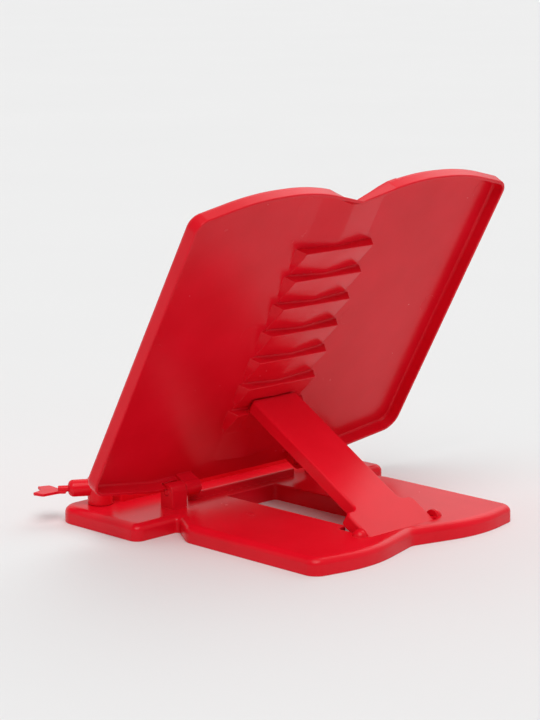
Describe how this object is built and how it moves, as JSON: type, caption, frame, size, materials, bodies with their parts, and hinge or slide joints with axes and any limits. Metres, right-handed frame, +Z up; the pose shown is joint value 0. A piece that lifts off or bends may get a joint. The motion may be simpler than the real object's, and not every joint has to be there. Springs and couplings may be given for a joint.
{
  "type": "folding bookstand",
  "caption": "Folding tabletop bookstand: tilting open-book back plate with ratchet spine, T-shaped base with slot, fold-down strut and swivelling page holders.",
  "frame": {"origin": "middle of the stand's bounding box, on the table", "axes": "+Z up, -Y towards the reader, +Y behind the plate, +X to the reader's right"},
  "size_m": [0.27, 0.2222, 0.2178],
  "materials": {
    "red_plastic": "satin gloss moulded plastic"
  },
  "bodies": {
    "base": {"base_plate": "red_plastic", "hinge_pin_left": "red_plastic", "hinge_pin_right": "red_plastic"},
    "plate": {"back_plate": "red_plastic"},
    "strut": {"strut": "red_plastic"},
    "post_left": {"holder_post_left": "red_plastic"},
    "post_right": {"holder_post_right": "red_plastic"},
    "finger_left": {"page_finger_left": "red_plastic"},
    "finger_right": {"page_finger_right": "red_plastic"}
  },
  "joints": [
    {"name": "plate_hinge", "type": "hinge", "parent": "base", "child": "plate", "pos_m": [0, -0.04108, 0.0208], "axis": [1, 0, 0], "range_deg": [0, 28]},
    {"name": "strut_hinge", "type": "hinge", "parent": "base", "child": "strut", "pos_m": [0, 0.08792, 0.0086], "axis": [1, 0, 0], "range_deg": [0, 30.9]},
    {"name": "post_left_swivel", "type": "hinge", "parent": "base", "child": "post_left", "pos_m": [0.091, -0.07958, 0.0214], "axis": [0, 0, 1], "range_deg": [-57, 40]},
    {"name": "post_right_swivel", "type": "hinge", "parent": "base", "child": "post_right", "pos_m": [-0.091, -0.07958, 0.0214], "axis": [0, 0, -1], "range_deg": [-57, 40]},
    {"name": "finger_left_twist", "type": "hinge", "parent": "post_left", "child": "finger_left", "pos_m": [0.091, -0.07958, 0.0214], "axis": [0.8387, -0.5446, 0], "range_deg": [-90, 90]},
    {"name": "finger_right_twist", "type": "hinge", "parent": "post_right", "child": "finger_right", "pos_m": [-0.091, -0.07958, 0.0214], "axis": [-0.8387, -0.5446, 0], "range_deg": [-90, 90]}
  ]
}
